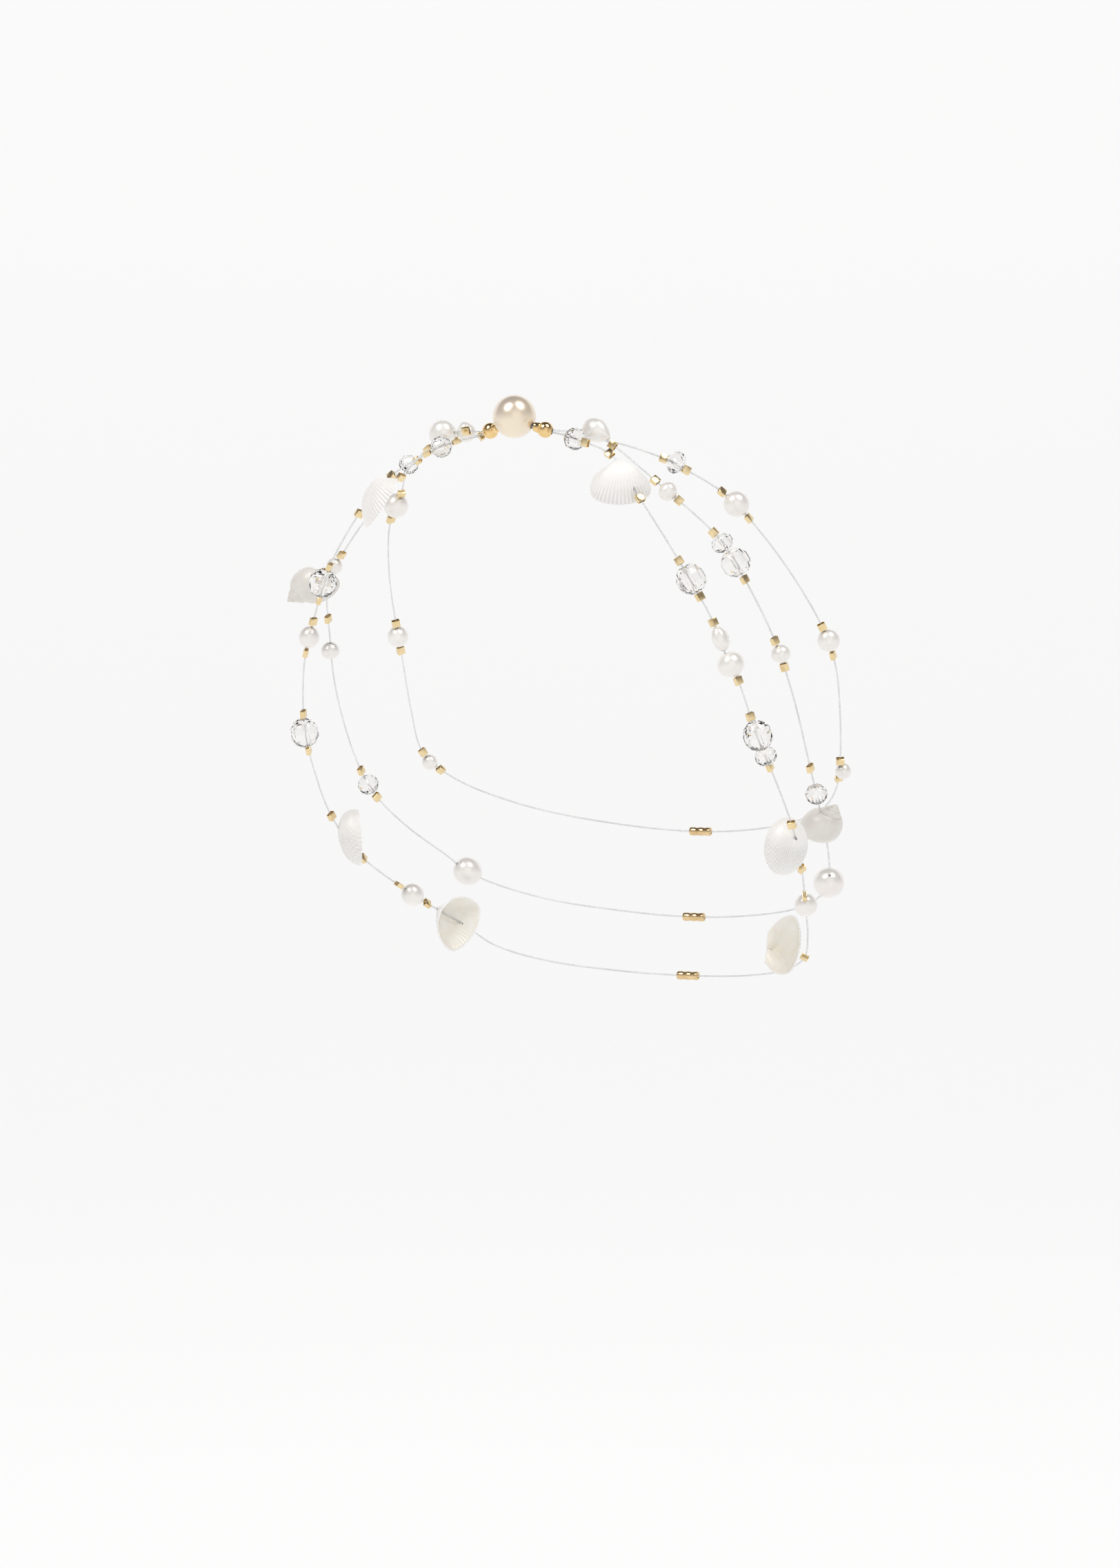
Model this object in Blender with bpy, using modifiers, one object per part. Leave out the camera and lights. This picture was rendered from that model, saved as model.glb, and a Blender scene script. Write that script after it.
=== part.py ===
"""A diadem in its worn form: one large pearl at the top front between two gold balls, and three clear
thread loops that run down both sides of the head and meet behind it, with pearls, cut crystals and
small shells strung between flat gold crimps.

Lengths in the tables are millimetres. X points to the wearer's left, the wearer faces -Y, Z is up, and the
origin is the seat on the head under the large pearl.
"""
import math

import bmesh
import bpy
from mathutils import Matrix, Vector

MM = 0.001

# Driving sizes
THREAD_R = 0.25
THREAD_SIDES = 5
BOW = 0.14
BORE_R = 0.64
PEARL_R = 6.3
PEARL_UP = 6.4
BALL_R = 2.35
BALL_AT = (9.1, 2.0, 2.5)
NECK_R, NECK_LONG = 1.55, 1.15
BUNDLE_R = 0.54
BUNDLE_BORE_R = 1.18
CRIMP_LONG, CRIMP_WIDE, CRIMP_THICK = 2.3, 2.4, 1.4
CLASP_LONG, CLASP_R = 7.0, 1.4
SOCKET_R, SOCKET_GAP = 0.85, 0.3
HEAD_MIDDLE = Vector((0.0, 32.0, -79.0))

# Where each thread lies in the bundle through the pearl and the balls: (back, up)
BUNDLE = {
    "a": (-0.87 * BUNDLE_R, -0.5 * BUNDLE_R),
    "b": (0.0, BUNDLE_R),
    "c": (0.87 * BUNDLE_R, -0.5 * BUNDLE_R),
}

# The bundle's own way from the middle of the pearl out through a ball: (out, back, up)
BUNDLE_WAY = [(0.25, 0.0, 4.3), (4.7, 0.55, 3.86), BALL_AT, (11.0, 2.6, 2.05), (12.8, 3.0, 1.65)]

# Waypoints of each half loop on its way down from the ball: (out, back, up)
FRONT = {
    "a_left": [(22.2, -4.0, -0.6), (35.2, -6.5, -5.4), (45.4, -8.5, -17.7), (57.9, -8.0, -35.9)],
    "a_right": [
        (17.7, -3.6, -0.8), (25.6, -6.0, -4.0), (36.9, -9.0, -11.1), (46.6, -9.0, -21.0), (57.5, -8.0, -36.6),
    ],
    "b_left": [
        (16.5, 2.4, 2.0), (22.6, 2.4, 2.3), (31.1, 2.0, -2.2), (45.2, 2.0, -12.8), (60.8, 8.5, -27.9),
        (67.4, 11.0, -38.2),
    ],
    "b_right": [
        (15.8, 1.2, 2.6), (24.8, 1.6, 1.0), (39.2, 2.0, -10.5), (53.0, 4.2, -23.4), (61.5, 7.9, -31.2),
        (68.6, 9.4, -40.5),
    ],
    "c_left": [(29.0, 8.5, -1.4), (41.3, 14.5, -5.9), (46.0, 18.6, -9.0), (54.0, 27.0, -15.6)],
    "c_right": [
        (14.6, 5.6, 0.9), (19.0, 6.4, 1.0), (30.0, 8.8, -1.8), (41.0, 14.2, -5.5), (46.2, 17.6, -8.4),
        (54.0, 27.0, -15.6),
    ],
}

# The rest of the way, the same on both sides, to the middle of the back: (out, back, up)
REAR = {
    "a": [
        (66.3, -3.2, -53.2), (69.3, -2.2, -61.5), (72.0, 0.6, -69.0), (75.2, 6.4, -85.0), (77.0, 15.6, -99.0),
        (77.3, 25.5, -112.0), (74.6, 37.0, -123.9), (66.8, 56.0, -136.8), (58.9, 74.0, -147.0),
        (53.4, 83.6, -153.6), (42.0, 95.0, -158.6), (22.0, 107.0, -162.0), (0.0, 111.0, -163.0),
    ],
    "b": [
        (74.2, 19.4, -57.6), (76.6, 27.0, -74.0), (76.6, 38.0, -94.0), (75.2, 47.0, -105.6),
        (71.4, 60.0, -116.0), (66.4, 73.0, -124.4), (60.4, 84.5, -132.4), (45.0, 100.0, -139.6),
        (23.0, 111.5, -143.6), (0.0, 115.0, -145.0),
    ],
    "c": [
        (60.4, 31.8, -23.4), (67.6, 43.4, -38.4), (72.2, 55.5, -54.4), (73.6, 62.0, -66.0), (73.2, 66.0, -80.0),
        (71.4, 70.0, -93.4), (66.0, 79.5, -101.6), (51.0, 98.0, -110.6), (26.0, 114.0, -116.6), (0.0, 119.5, -118.6),
    ],
}

# Crimps: (distance along the thread from the middle of the pearl, turn about the thread in degrees)
CRIMPS = {
    "a_left": [
        (29.2, 70), (38.5, 25), (55.6, 10), (77.2, 35), (89.0, 5), (97.2, 15), (115.4, 0), (126.4, 10),
        (143.2, -20), (164.4, 60), (183.4, 10), (199.6, -40), (242.4, 80),
    ],
    "a_right": [
        (21.2, 20), (30.6, 0), (43.2, -30), (58.6, 60), (77.6, 10), (89.0, -10), (96.4, 30), (106.4, 0),
        (126.4, 10), (139.0, 0), (164.4, 30), (183.4, 10), (199.6, -40), (212.0, 0),
    ],
    "b_left": [
        (32.9, 60), (50.2, 15), (59.2, 50), (72.7, 80), (88.9, 5), (109.0, 10), (117.4, 70), (150.9, 5),
    ],
    "b_right": [(17.8, 80), (32.2, 10), (44.8, 40), (78.6, 20), (102.0, 0), (155.0, 0), (166.0, 30)],
    "c_left": [
        (44.8, 40), (52.4, 60), (65.0, 20), (76.0, 10), (117.6, 75), (127.4, 15), (160.8, 80), (169.4, 60),
    ],
    "c_right": [
        (14.9, 80), (25.4, 30), (44.8, 60), (65.0, 20), (76.0, 10), (117.6, 20), (127.4, 15), (160.8, 20),
        (169.4, 60),
    ],
}

# Pearls and crystals: (name, thread, distance along it, kind, across, along, lift off the head)
BEADS = [
    ("crystal_a1_left", "a_left", 24.8, "cut", 6.4, 5.6, 0.0),
    ("crystal_a2_left", "a_left", 83.4, "cut", 8.4, 8.2, 0.5),
    ("pearl_ridged_left", "a_left", 102.3, "ridged", 4.6, 6.8, 0.0),
    ("pearl_a1_left", "a_left", 110.2, "round", 8.0, 7.4, 0.0),
    ("crystal_a3_left", "a_left", 132.4, "cut", 8.4, 8.2, 0.3),
    ("crystal_a4_left", "a_left", 139.4, "cut", 6.4, 4.8, 0.2),
    ("pearl_a2_left", "a_left", 205.2, "round", 6.9, 7.6, 0.2),
    ("pearl_drop_left", "b_left", 26.6, "drop", 7.0, 9.8, 1.0),
    ("pearl_b1_left", "b_left", 55.1, "round", 5.8, 5.4, 0.0),
    ("crystal_b1_left", "b_left", 76.6, "cut", 6.4, 4.8, 0.0),
    ("crystal_b2_left", "b_left", 83.4, "cut", 8.4, 7.6, 0.2),
    ("pearl_b2_left", "b_left", 113.2, "round", 5.7, 5.4, 0.3),
    ("crystal_b3_left", "b_left", 160.6, "cut", 6.4, 5.2, 0.0),
    ("pearl_b3_left", "b_left", 210.0, "round", 9.4, 9.8, 0.0),
    ("crystal_c_left", "c_left", 48.6, "cut", 6.6, 4.6, 0.5),
    ("pearl_c1_left", "c_left", 70.5, "round", 7.7, 7.9, 0.2),
    ("pearl_c2_left", "c_left", 122.5, "round", 6.7, 6.9, 0.2),
    ("pearl_c3_left", "c_left", 165.1, "round", 4.9, 5.0, 1.0),
    ("crystal_a1_right", "a_right", 25.9, "cut", 6.2, 5.6, 0.0),
    ("crystal_a2_right", "a_right", 83.3, "cut", 8.2, 8.2, 0.3),
    ("pearl_a1_right", "a_right", 101.4, "round", 6.2, 6.6, 0.0),
    ("crystal_a3_right", "a_right", 132.7, "cut", 8.4, 8.2, 0.2),
    ("pearl_a2_right", "a_right", 205.8, "round", 7.0, 7.4, 0.2),
    ("pearl_oval_right", "b_right", 25.6, "round", 8.0, 8.2, 1.0),
    ("pearl_b1_right", "b_right", 82.8, "round", 4.9, 4.9, 0.0),
    ("pearl_b2_right", "b_right", 113.2, "round", 5.7, 5.4, 0.2),
    ("crystal_b_right", "b_right", 160.5, "cut", 6.4, 5.2, 0.0),
    ("pearl_b3_right", "b_right", 209.4, "round", 8.8, 9.4, 0.0),
    ("pearl_pointed_right", "c_right", 20.9, "pointed", 5.8, 6.0, 1.4),
    ("crystal_c_right", "c_right", 49.2, "cut", 5.8, 4.6, 0.8),
    ("pearl_c1_right", "c_right", 70.5, "round", 7.6, 7.8, 0.2),
    ("pearl_c2_right", "c_right", 122.5, "round", 6.6, 6.8, 0.2),
    ("pearl_c3_right", "c_right", 165.1, "round", 4.9, 5.0, 0.6),
]

# Shells: (name, thread, distance to the shell's origin, kind, long, wide, deep, shift, axis, face),
# where shift, axis (umbo to margin, or base to tip) and face are (out, back, up) with right-hand ones mirrored
SHELLS = [
    (
        "fan_front_left", "a_left", 41.0, "fan", 13.4, 17.6, 5.8,
        (-0.9, 2.4, -1.7), (0.36, -0.36, -0.86), (0.50, -0.70, 0.52),
    ),
    (
        "fan_front_right", "a_right", 45.4, "fan", 15.4, 17.8, 5.8,
        (-1.1, 0.5, -1.5), (-0.14, -0.77, -0.62), (0.67, -0.54, 0.51),
    ),
    (
        "fan_nape_left", "a_left", 246.5, "fan", 15.5, 18.6, 5.0,
        (-13.2, 1.3, 3.5), (0.94, -0.30, 0.15), (0.30, 0.91, -0.27),
    ),
    (
        "fan_nape_right", "a_right", 216.0, "fan", 15.0, 17.6, 4.8,
        (-2.8, -1.2, 0.4), (-0.30, 0.74, -0.60), (0.90, 0.42, 0.06),
    ),
    (
        "cockle_left", "a_left", 173.4, "cockle", 17.2, 13.6, 6.4,
        (-4.8, 1.1, 0.0), (-0.09, -0.03, -0.99), (0.80, -0.60, -0.05),
    ),
    (
        "cockle_right", "a_right", 173.4, "cockle", 17.2, 13.6, 6.4,
        (-4.6, 0.9, 0.0), (-0.09, -0.03, -0.99), (0.80, -0.60, -0.05),
    ),
    (
        "snail_left", "b_left", 172.6, "snail", 13.6, 12.8, 12.8,
        (0.6, 0.4, -1.4), (0.37, 0.88, 0.28), (0.80, -0.45, 0.30),
    ),
    (
        "snail_right", "b_right", 90.0, "snail", 16.2, 12.6, 12.6,
        (5.2, -1.2, 0.9), (0.68, -0.34, -0.65), (-0.50, -0.70, 0.20),
    ),
]

# Half of a fan shell's margin from its middle to the hinge: (share of the length, share of the half width)
FAN_MARGIN = [(1.00, 0.0), (0.975, 0.36), (0.90, 0.70), (0.78, 0.95), (0.56, 1.00), (0.30, 0.86), (0.06, 0.52)]

COLOURS = {
    "pearl_cream": ((0.86, 0.79, 0.66, 1.0), 0.0, 0.25),
    "pearl_white": ((0.84, 0.82, 0.78, 1.0), 0.0, 0.22),
    "crystal": ((0.90, 0.93, 0.93, 1.0), 0.0, 0.04),
    "shell": ((0.88, 0.86, 0.82, 1.0), 0.0, 0.45),
    "gold": ((0.83, 0.61, 0.27, 1.0), 1.0, 0.20),
    "thread": ((0.88, 0.89, 0.88, 1.0), 0.0, 0.15),
}


def clear_scene():
    for obj in list(bpy.data.objects):
        bpy.data.objects.remove(obj, do_unlink=True)


def make_collection(name):
    collection = bpy.data.collections.new(name)
    bpy.context.scene.collection.children.link(collection)
    return collection


def material(node_name, stuff):
    colour, metallic, roughness = COLOURS[stuff]
    mat = bpy.data.materials.new(node_name + "_" + stuff)
    mat.use_nodes = True
    shader = mat.node_tree.nodes["Principled BSDF"]
    shader.inputs["Base Color"].default_value = colour
    shader.inputs["Metallic"].default_value = metallic
    shader.inputs["Roughness"].default_value = roughness
    return mat


# Routes of the threads

def waypoints(thread):
    strand, side = thread.split("_")
    sign = 1.0 if side == "left" else -1.0
    back, up = BUNDLE[strand]
    way = [(x, y + back, z + up) for x, y, z in BUNDLE_WAY] + FRONT[thread] + REAR[strand]
    return [Vector((sign * x, y, z)) for x, y, z in way]


def smooth_way(points, per_span=16):
    """A smooth curve through the points that starts and ends along X."""
    knots = [0.0]
    for a, b in zip(points, points[1:]):
        knots.append(knots[-1] + math.sqrt((b - a).length))
    slopes = []
    for i in range(len(points)):
        lo = max(i - 1, 0)
        hi = min(i + 1, len(points) - 1)
        before = (points[i] - points[lo]) / (knots[i] - knots[lo]) if lo < i else None
        after = (points[hi] - points[i]) / (knots[hi] - knots[i]) if hi > i else None
        if before is None:
            slopes.append(Vector((after.x, 0.0, 0.0)))
        elif after is None:
            slopes.append(Vector((before.x, 0.0, 0.0)))
        else:
            left = knots[i] - knots[lo]
            right = knots[hi] - knots[i]
            slopes.append((before * right + after * left) / (left + right))
    way = []
    for i in range(len(points) - 1):
        span = knots[i + 1] - knots[i]
        for k in range(per_span):
            t = k / per_span
            way.append(
                points[i] * (2 * t ** 3 - 3 * t ** 2 + 1)
                + slopes[i] * (span * (t ** 3 - 2 * t ** 2 + t))
                + points[i + 1] * (3 * t ** 2 - 2 * t ** 3)
                + slopes[i + 1] * (span * (t ** 3 - t ** 2))
            )
    way.append(points[-1].copy())
    return way


class Route:
    """A thread's centre line, asked for by the distance along it."""

    def __init__(self, points):
        self.way = smooth_way(points)
        self.run = [0.0]
        for a, b in zip(self.way, self.way[1:]):
            self.run.append(self.run[-1] + (b - a).length)
        self.length = self.run[-1]

    def at(self, distance):
        distance = min(max(distance, 0.0), self.length)
        for i in range(len(self.run) - 1):
            if distance <= self.run[i + 1]:
                share = (distance - self.run[i]) / (self.run[i + 1] - self.run[i])
                return self.way[i].lerp(self.way[i + 1], share)
        return self.way[-1].copy()

    def along(self, distance):
        return (self.at(distance + 0.8) - self.at(distance - 0.8)).normalized()

    def outward(self, distance):
        """The direction away from the head, square to the thread."""
        along = self.along(distance)
        out = self.at(distance) - HEAD_MIDDLE
        return (out - along * out.dot(along)).normalized()

    def bow(self, start, end):
        """How far the thread strays from the straight line between two of its points."""
        a, b = self.at(start), self.at(end)
        strays = []
        for share in (0.25, 0.5, 0.75):
            strays.append((self.at(start + (end - start) * share) - a.lerp(b, share)).length)
        return max(strays)

    def part(self, start, end, longest=10.0, bow=0.07):
        """Points along the thread, close together where it bends."""
        if end - start > longest or self.bow(start, end) > bow:
            middle = 0.5 * (start + end)
            return self.part(start, middle, longest, bow)[:-1] + self.part(middle, end, longest, bow)
        return [self.at(start), self.at(end)]


ROUTES = {thread: Route(waypoints(thread)) for thread in FRONT}


# Solids

def finish(obj, stuff, collection):
    collection.objects.link(obj)
    obj.data.materials.append(material(obj.name, stuff))
    obj.data.shade_smooth()
    obj.data.set_sharp_from_angle(angle=math.radians(32))
    return obj


def object_from(bm, name, open_side=False):
    """An object from the mesh; one with an open side is split into flat triangles and faces up."""
    bmesh.ops.recalc_face_normals(bm, faces=bm.faces)
    if open_side:
        bmesh.ops.triangulate(bm, faces=bm.faces)
        if sum(face.normal.z for face in bm.faces) < 0:
            bmesh.ops.reverse_faces(bm, faces=bm.faces)
    mesh = bpy.data.meshes.new(name)
    bm.to_mesh(mesh)
    bm.free()
    return bpy.data.objects.new(name, mesh)


def swept(points, radius, sides, name):
    """A tube with a chosen number of sides, each ring square to the way it follows."""
    bm = bmesh.new()
    rings = []
    side = None
    for i, point in enumerate(points):
        ahead = points[min(i + 1, len(points) - 1)] - points[max(i - 1, 0)]
        ahead.normalize()
        if side is None:
            side = ahead.orthogonal().normalized()
        side = (side - ahead * side.dot(ahead)).normalized()
        other = ahead.cross(side)
        ring = []
        for k in range(sides):
            turn = 2 * math.pi * k / sides
            place = point + (side * math.cos(turn) + other * math.sin(turn)) * radius
            ring.append(bm.verts.new(place * MM))
        rings.append(ring)
    for a, b in zip(rings, rings[1:]):
        for k in range(sides):
            bm.faces.new((a[k], a[(k + 1) % sides], b[(k + 1) % sides], b[k]))
    bm.faces.new(list(reversed(rings[0])))
    bm.faces.new(rings[-1])
    return object_from(bm, name)


def turned(profile, sides, name):
    """A solid of revolution about Z from (radius, height) rows that start and end on the axis."""
    bm = bmesh.new()
    line = [bm.verts.new((radius * MM, 0.0, height * MM)) for radius, height in profile]
    edges = [bm.edges.new(pair) for pair in zip(line, line[1:])]
    bmesh.ops.spin(
        bm, geom=line + edges, cent=(0, 0, 0), axis=(0, 0, 1),
        angle=2 * math.pi, steps=sides, use_merge=True,
    )
    bmesh.ops.remove_doubles(bm, verts=bm.verts, dist=1e-7)
    return object_from(bm, name)


def frame_at(place, along, out):
    """A placement whose Z runs along the thread and whose X points away from the head."""
    side = along.cross(out)
    return Matrix((
        (out.x, side.x, along.x, place.x * MM),
        (out.y, side.y, along.y, place.y * MM),
        (out.z, side.z, along.z, place.z * MM),
        (0.0, 0.0, 0.0, 1.0),
    ))


def cut(obj, tool, operation="DIFFERENCE"):
    boolean = obj.modifiers.new(operation.lower(), "BOOLEAN")
    boolean.operation = operation
    boolean.solver = "EXACT"
    boolean.object = tool


def tool_object(obj, collection):
    obj.hide_render = True
    obj.display_type = "WIRE"
    collection.objects.link(obj)
    return obj


def thread_bore(thread, start, end, name, tools):
    way = ROUTES[thread].part(start, end)
    return tool_object(swept(way, BORE_R, 6, name), tools)


# Beads

def round_profile(across, along, rings):
    rows = []
    for i in range(rings + 1):
        turn = math.pi * i / rings
        rows.append((0.5 * across * math.sin(turn), -0.5 * along * math.cos(turn)))
    rows[0] = (0.0, -0.5 * along)
    rows[-1] = (0.0, 0.5 * along)
    return rows


def cut_profile(across, along):
    """A cut bead: a flat table at each end, a sloped row of facets and long facets round the middle."""
    half, radius = 0.5 * along, 0.5 * across
    table = 0.30 * across
    return [
        (0.0, -half), (table, -half), (0.80 * radius, -0.68 * half), (radius, -0.24 * half),
        (radius, 0.24 * half), (0.80 * radius, 0.68 * half), (table, half), (0.0, half),
    ]


def drop_profile(across, along):
    """A pear shape, narrow towards the far end of the thread."""
    rows = [
        (0.00, -0.50), (0.62, -0.43), (0.92, -0.26), (1.00, -0.04), (0.86, 0.17), (0.60, 0.34), (0.34, 0.46),
        (0.00, 0.50),
    ]
    return [(0.5 * across * radius, along * height) for radius, height in rows]


def ridge(obj, across):
    """The row of small swellings down one side of a ridged pearl."""
    for vert in obj.data.vertices:
        reach = math.hypot(vert.co.x, vert.co.y)
        if reach < 1e-6:
            continue
        towards = max(0.0, -vert.co.y / reach)
        vert.co.y -= 0.14 * across * MM * towards ** 2


def point_up(obj, across):
    """The blunt point that one pearl has on the side away from the head."""
    for vert in obj.data.vertices:
        reach = max(0.0, vert.co.x / (0.5 * across * MM))
        vert.co.x += 0.07 * across * MM * reach ** 4
        vert.co.y *= 1.0 - 0.22 * reach ** 2
        vert.co.z *= 1.0 - 0.22 * reach ** 2


def make_bead(row, parts, tools):
    name, thread, distance, kind, across, along, lift = row
    route = ROUTES[thread]
    out = route.outward(distance)
    if kind == "cut":
        obj = turned(cut_profile(across, along), 10, name)
    elif kind == "drop":
        obj = turned(drop_profile(across, along), 10, name)
    else:
        rings = 7 if across > 7.0 else 6
        obj = turned(round_profile(across, along, rings), 10, name)
    if kind == "ridged":
        ridge(obj, across)
    if kind == "pointed":
        point_up(obj, across)
    obj.matrix_world = frame_at(route.at(distance) + out * lift, route.along(distance), out)
    reach = 0.5 * along + 1.2
    cut(obj, thread_bore(thread, distance - reach, distance + reach, name + "_bore", tools))
    return finish(obj, "crystal" if kind == "cut" else "pearl_white", parts)


# Shells

def fan_shell(long, wide, deep, name):
    """One domed valve: its umbo at the origin, its margin towards +X, its outside towards +Z."""
    rings = 4
    margin = [(x, -y) for x, y in reversed(FAN_MARGIN[1:])] + FAN_MARGIN
    bm = bmesh.new()
    beak = bm.verts.new((0.0, 0.0, 0.62 * deep * MM))
    grid = []
    for x, y in margin:
        row = []
        low = 1.0 - 0.7 * (1.0 - x) ** 2
        for i in range(1, rings + 1):
            share = i / rings
            height = deep * low * math.sin(math.pi * (0.2 + 0.8 * share)) ** 0.8 if i < rings else 0.0
            row.append(bm.verts.new((long * x * share * MM, 0.5 * wide * y * share * MM, height * MM)))
        grid.append(row)
    for a, b in zip(grid, grid[1:]):
        bm.faces.new((beak, a[0], b[0]))
        for i in range(rings - 1):
            bm.faces.new((a[i], a[i + 1], b[i + 1], b[i]))
    return object_from(bm, name, open_side=True)


def cockle_shell(long, wide, deep, name):
    """One full, rounded valve: its middle at the origin, its umbo towards -X, its outside towards +Z."""
    sides, rings = 14, 5
    bm = bmesh.new()
    crown = bm.verts.new((-0.08 * long * MM, 0.0, deep * MM))
    loops = []
    for i in range(1, rings + 1):
        tilt = 0.5 * math.pi * i / rings
        loop = []
        for k in range(sides):
            turn = 2 * math.pi * k / sides
            narrow = 1.0 - 0.10 * max(0.0, -math.cos(turn))
            loop.append(bm.verts.new((
                (0.5 * long * math.sin(tilt) * math.cos(turn) - 0.08 * long * math.cos(tilt)) * MM,
                0.5 * wide * narrow * math.sin(tilt) * math.sin(turn) * MM,
                deep * math.cos(tilt) ** 0.85 * MM if i < rings else 0.0,
            )))
        loops.append(loop)
    for k in range(sides):
        bm.faces.new((crown, loops[0][k], loops[0][(k + 1) % sides]))
    for a, b in zip(loops, loops[1:]):
        for k in range(sides):
            bm.faces.new((a[k], b[k], b[(k + 1) % sides], a[(k + 1) % sides]))
    return object_from(bm, name, open_side=True)


def snail_profile(long, wide):
    """The outline of a turban shell: base, body whorl and two smaller whorls up to the tip."""
    rows = [
        (0.00, -0.44), (0.52, -0.42), (0.84, -0.31), (1.00, -0.12), (0.96, 0.04), (0.80, 0.13), (0.64, 0.15),
        (0.62, 0.22), (0.50, 0.31), (0.36, 0.34), (0.33, 0.40), (0.20, 0.48), (0.00, 0.56),
    ]
    return [(0.5 * wide * radius, long * height) for radius, height in rows]


def make_shell(row, parts, tools):
    name, thread, distance, kind, long, wide, deep, shift, axis, face = row
    sign = 1.0 if thread.endswith("left") else -1.0
    route = ROUTES[thread]
    shift = Vector((sign * shift[0], shift[1], shift[2]))
    axis = Vector((sign * axis[0], axis[1], axis[2])).normalized()
    face = Vector((sign * face[0], face[1], face[2]))
    face = (face - axis * face.dot(axis)).normalized()
    place = route.at(distance) + shift
    if kind == "snail":
        obj = turned(snail_profile(long, wide), 12, name)
        obj.matrix_world = frame_at(place, axis, face)
    else:
        obj = fan_shell(long, wide, deep, name) if kind == "fan" else cockle_shell(long, wide, deep, name)
        side = face.cross(axis)
        obj.matrix_world = Matrix((
            (axis.x, side.x, face.x, place.x * MM),
            (axis.y, side.y, face.y, place.y * MM),
            (axis.z, side.z, face.z, place.z * MM),
            (0.0, 0.0, 0.0, 1.0),
        ))
        shell = obj.modifiers.new("wall", "SOLIDIFY")
        shell.thickness = 1.0 * MM
        shell.offset = -1.0
    reach = long + 2.0
    cut(obj, thread_bore(thread, distance - reach, distance + reach, name + "_bore", tools))
    if kind == "snail":
        mouth = turned(round_profile(0.62 * wide, 0.62 * wide, 6), 10, name + "_mouth")
        mouth.matrix_world = frame_at(place + face * 0.46 * wide - axis * 0.16 * long, axis, face)
        cut(obj, tool_object(mouth, tools))
    return finish(obj, "shell", parts)


# Metal and threads

def make_centre(parts, tools):
    pearl = turned(round_profile(2 * PEARL_R, 2 * PEARL_R, 10), 14, "centre_pearl")
    pearl.location = (0.0, 0.0, PEARL_UP * MM)
    right = [Vector((-x, y, z)) for x, y, z in reversed(BUNDLE_WAY[1:])]
    left = [Vector(place) for place in BUNDLE_WAY[1:]]
    way = smooth_way(right + [Vector((0.0, 0.0, 4.3))] + left, 3)
    bore = tool_object(swept(way, BUNDLE_BORE_R, 8, "bundle_bore"), tools)
    cut(pearl, bore)
    finish(pearl, "pearl_cream", parts)
    for side, sign in (("left", 1.0), ("right", -1.0)):
        foot = -NECK_LONG - BALL_R
        profile = [(0.0, foot), (NECK_R * 0.86, foot), (NECK_R, -BALL_R * 0.80)]
        for i in range(3, 8):
            turn = math.pi * i / 8
            profile.append((BALL_R * math.sin(turn), -BALL_R * math.cos(turn)))
        profile.append((0.0, BALL_R))
        ball = turned(profile, 10, "ball_" + side)
        place = Vector((sign * BALL_AT[0], BALL_AT[1], BALL_AT[2]))
        before = Vector((sign * BUNDLE_WAY[1][0], BUNDLE_WAY[1][1], BUNDLE_WAY[1][2]))
        along = (place - before).normalized()
        ball.matrix_world = frame_at(place, along, along.cross(Vector((0, 1, 0))).normalized())
        cut(ball, bore)
        finish(ball, "gold", parts)


def crimp_blocks(thread, name, tools):
    """All flat crimps of one half loop as one tool, ready to be fused to its thread."""
    route = ROUTES[thread]
    bm = bmesh.new()
    for distance, turn in CRIMPS[thread]:
        made = bmesh.ops.create_cube(bm, size=1.0)
        size = Matrix.Diagonal((CRIMP_THICK * MM, CRIMP_WIDE * MM, CRIMP_LONG * MM, 1.0))
        place = frame_at(route.at(distance), route.along(distance), route.outward(distance))
        turned_by = Matrix.Rotation(math.radians(turn), 4, "Z")
        bmesh.ops.transform(bm, matrix=place @ turned_by @ size, verts=made["verts"])
    return tool_object(object_from(bm, name), tools)


def make_strand(thread, parts, tools):
    strand, side = thread.split("_")
    route = ROUTES[thread]
    name = "strand_" + thread
    end = route.length if side == "left" else route.length - SOCKET_GAP
    way = route.part(0.0, 14.4, 1.8) + route.part(14.4, end, 10.0, BOW)[1:]
    obj = swept(way, THREAD_R, THREAD_SIDES, name)
    cut(obj, crimp_blocks(thread, name + "_crimps", tools), "UNION")
    if side == "left":
        along = Vector((-1.0, 0.0, 0.0))
        middle = route.at(route.length)
        half = 0.5 * CLASP_LONG
        body = [(0.0, -half), (CLASP_R, -half), (CLASP_R, half), (0.0, half)]
        clasp = turned(body, 10, name + "_clasp")
        clasp.matrix_world = frame_at(middle, along, Vector((0.0, 0.0, 1.0)))
        cut(obj, tool_object(clasp, tools), "UNION")
        hole = [(0.0, 0.0), (SOCKET_R, 0.0), (SOCKET_R, half + 1.0), (0.0, half + 1.0)]
        socket = turned(hole, 8, name + "_socket")
        socket.matrix_world = frame_at(middle, along, Vector((0.0, 0.0, 1.0)))
        cut(obj, tool_object(socket, tools))
    return finish(obj, "thread", parts)


def build():
    clear_scene()
    parts = make_collection("diadem")
    tools = make_collection("cutters")
    tools.hide_render = True
    make_centre(parts, tools)
    for thread in FRONT:
        make_strand(thread, parts, tools)
    for row in BEADS:
        make_bead(row, parts, tools)
    for row in SHELLS:
        make_shell(row, parts, tools)


build()
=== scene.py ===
import math

import bmesh
import bpy
from mathutils import Matrix, Vector


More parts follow.
